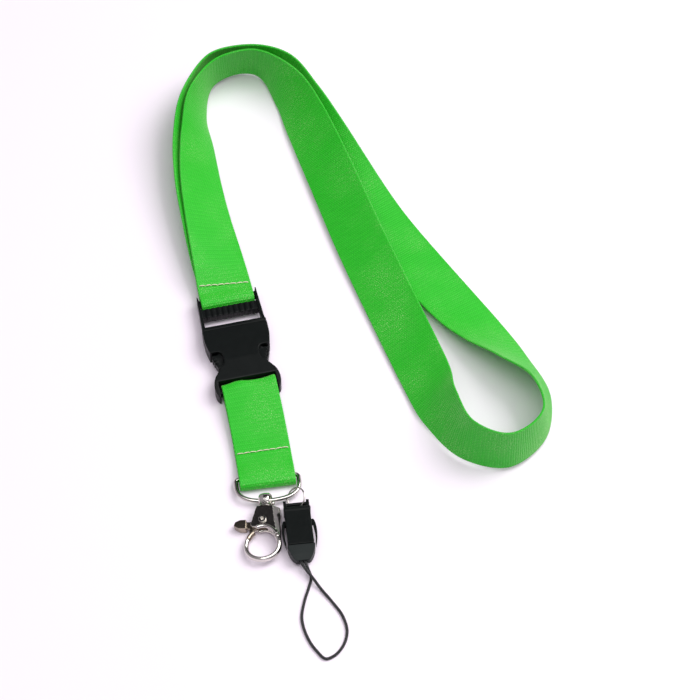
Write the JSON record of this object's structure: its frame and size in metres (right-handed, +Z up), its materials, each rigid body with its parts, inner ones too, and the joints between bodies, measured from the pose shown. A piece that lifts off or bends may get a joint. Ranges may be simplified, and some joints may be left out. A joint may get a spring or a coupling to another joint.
{
  "type": "neck lanyard",
  "caption": "Flat webbing neck lanyard with a side-release buckle, D-ring, swivel trigger hook and a small detachable clip with a cord loop.",
  "frame": {"origin": "on the underside of the buckle's socket half, where the lanyard rests on a table", "axes": "+Y from the hook along the straps towards the neck loop, +Z up from the table, +X to the right"},
  "size_m": [0.1537, 0.3273, 0.0281],
  "materials": {
    "webbing": "ribbed woven polyester webbing",
    "thread": "twisted sewing thread",
    "black_plastic": "satin moulded acetal",
    "nickel": "polished nickel plate",
    "spring_steel": "drawn wire",
    "black_cord": "fine braided cord"
  },
  "bodies": {
    "neck": {"neck_strap": "webbing", "neck_strap_stitching": "thread"},
    "plug": {"buckle_male_frame": "black_plastic"},
    "release_right": {"buckle_release_arm_right": "black_plastic"},
    "release_left": {"buckle_release_arm_left": "black_plastic"},
    "socket": {"buckle_female": "black_plastic"},
    "strap": {"short_strap": "webbing", "short_strap_stitching": "thread"},
    "ring": {"d_ring": "nickel"},
    "eye": {"hook_swivel_eye": "nickel"},
    "hook": {"hook_body": "nickel", "hook_gate_rivet": "nickel", "hook_gate_spring": "spring_steel"},
    "gate": {"hook_gate": "nickel"},
    "jump": {"jump_ring": "nickel"},
    "clip_socket": {"phone_clip_socket": "black_plastic"},
    "clip_plug": {"phone_clip_plug": "black_plastic", "phone_cord_knot": "black_cord", "phone_loop_cord": "black_cord"},
    "clip_catch_right": {"phone_clip_arm_right": "black_plastic"},
    "clip_catch_left": {"phone_clip_arm_left": "black_plastic"}
  },
  "joints": [
    {"name": "plug_hinge", "type": "hinge", "parent": "neck", "child": "plug", "pos_m": [0, 0.023, 0.0042], "axis": [1, 0, 0], "range_deg": [-25, 25]},
    {"name": "release_right_press", "type": "hinge", "parent": "plug", "child": "release_right", "pos_m": [0.0074, 0.005, 0.0041], "axis": [0, 0, -1], "range_deg": [0, 6], "stiffness_Nm_per_rad": 0.5},
    {"name": "release_left_press", "type": "hinge", "parent": "plug", "child": "release_left", "pos_m": [-0.0074, 0.005, 0.0041], "axis": [0, 0, 1], "range_deg": [0, 6], "stiffness_Nm_per_rad": 0.5},
    {"name": "buckle_slide", "type": "slide", "parent": "plug", "child": "socket", "axis": [0, -1, 0], "range_m": [0, 0.03], "deforming": ["buckle_release_arm_right", "buckle_release_arm_left"]},
    {"name": "strap_hinge", "type": "hinge", "parent": "socket", "child": "strap", "pos_m": [0, -0.0267, 0.0042], "axis": [1, 0, 0], "range_deg": [-20, 20]},
    {"name": "ring_hinge", "type": "hinge", "parent": "strap", "child": "ring", "pos_m": [-0.00135, -0.0738, 0.0026], "axis": [0.9936, -0.1132, 0], "range_deg": [-60, 60]},
    {"name": "eye_hinge", "type": "hinge", "parent": "ring", "child": "eye", "pos_m": [-0.00424, -0.08601, 0.0033], "axis": [0.9889, -0.1489, 0.002], "range_deg": [-45, 60]},
    {"name": "hook_swivel", "type": "hinge", "parent": "eye", "child": "hook", "pos_m": [-0.0045, -0.08605, 0.0038], "axis": [0.2538, 0.9673, 0], "range_deg": [-90, 90]},
    {"name": "gate_press", "type": "hinge", "parent": "hook", "child": "gate", "pos_m": [-0.00758, -0.09661, 0.00375], "axis": [-0.1513, 0.0397, 0.9877], "range_deg": [0, 28], "stiffness_Nm_per_rad": 0.02, "springref_deg": -11.46},
    {"name": "jump_ring_hinge", "type": "hinge", "parent": "ring", "child": "jump", "pos_m": [0.00766, -0.08541, 0.00319], "axis": [0.9219, 0.3864, -0.0273], "range_deg": [-30, 30]},
    {"name": "clip_hinge", "type": "hinge", "parent": "jump", "child": "clip_socket", "pos_m": [0.0082, -0.091, 0.0036], "axis": [0.9945, -0.1045, 0], "range_deg": [-30, 30]},
    {"name": "clip_slide", "type": "slide", "parent": "clip_socket", "child": "clip_plug", "axis": [-0.1045, -0.9945, 0], "range_m": [0, 0.014], "deforming": ["phone_clip_arm_right", "phone_clip_arm_left"]},
    {"name": "clip_catch_right_flex", "type": "hinge", "parent": "clip_plug", "child": "clip_catch_right", "pos_m": [0.01222, -0.11395, 0.0036], "axis": [0, 0, -1], "range_deg": [0, 8], "stiffness_Nm_per_rad": 0.05},
    {"name": "clip_catch_left_flex", "type": "hinge", "parent": "clip_plug", "child": "clip_catch_left", "pos_m": [-0.00051, -0.11261, 0.0036], "axis": [0, 0, 1], "range_deg": [0, 8], "stiffness_Nm_per_rad": 0.05}
  ]
}
